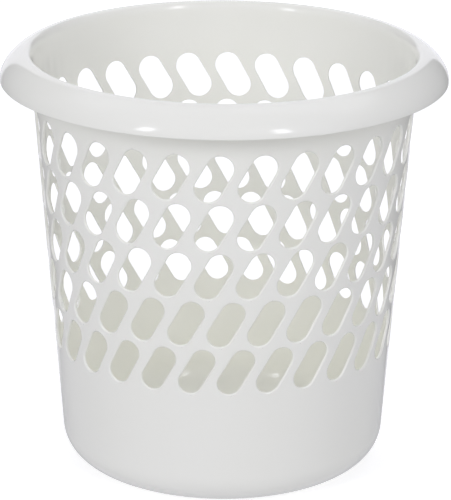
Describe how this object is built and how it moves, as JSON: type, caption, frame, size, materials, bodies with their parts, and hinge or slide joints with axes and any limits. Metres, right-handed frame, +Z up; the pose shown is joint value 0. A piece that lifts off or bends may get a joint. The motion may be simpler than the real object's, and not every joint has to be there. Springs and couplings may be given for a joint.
{
  "type": "wastebasket",
  "caption": "Round tapered plastic office wastebasket with slanted slots in its wall, a rolled overhanging rim and a rounded base.",
  "frame": {"origin": "centre of the face the basket stands on", "axes": "+Z up along the axis of the basket, -Y towards the front"},
  "size_m": [0.28, 0.28, 0.267],
  "materials": {
    "white_polypropylene": "semi-gloss moulded, slightly translucent"
  },
  "bodies": {
    "root": {"rim_skirt": "white_polypropylene", "rim_crest": "white_polypropylene", "upper_band": "white_polypropylene", "slot_row_1": "white_polypropylene", "slot_row_2": "white_polypropylene", "slot_row_3": "white_polypropylene", "slot_row_4": "white_polypropylene", "slot_row_5": "white_polypropylene", "lower_band": "white_polypropylene", "base_corner": "white_polypropylene", "floor": "white_polypropylene"}
  },
  "joints": []
}
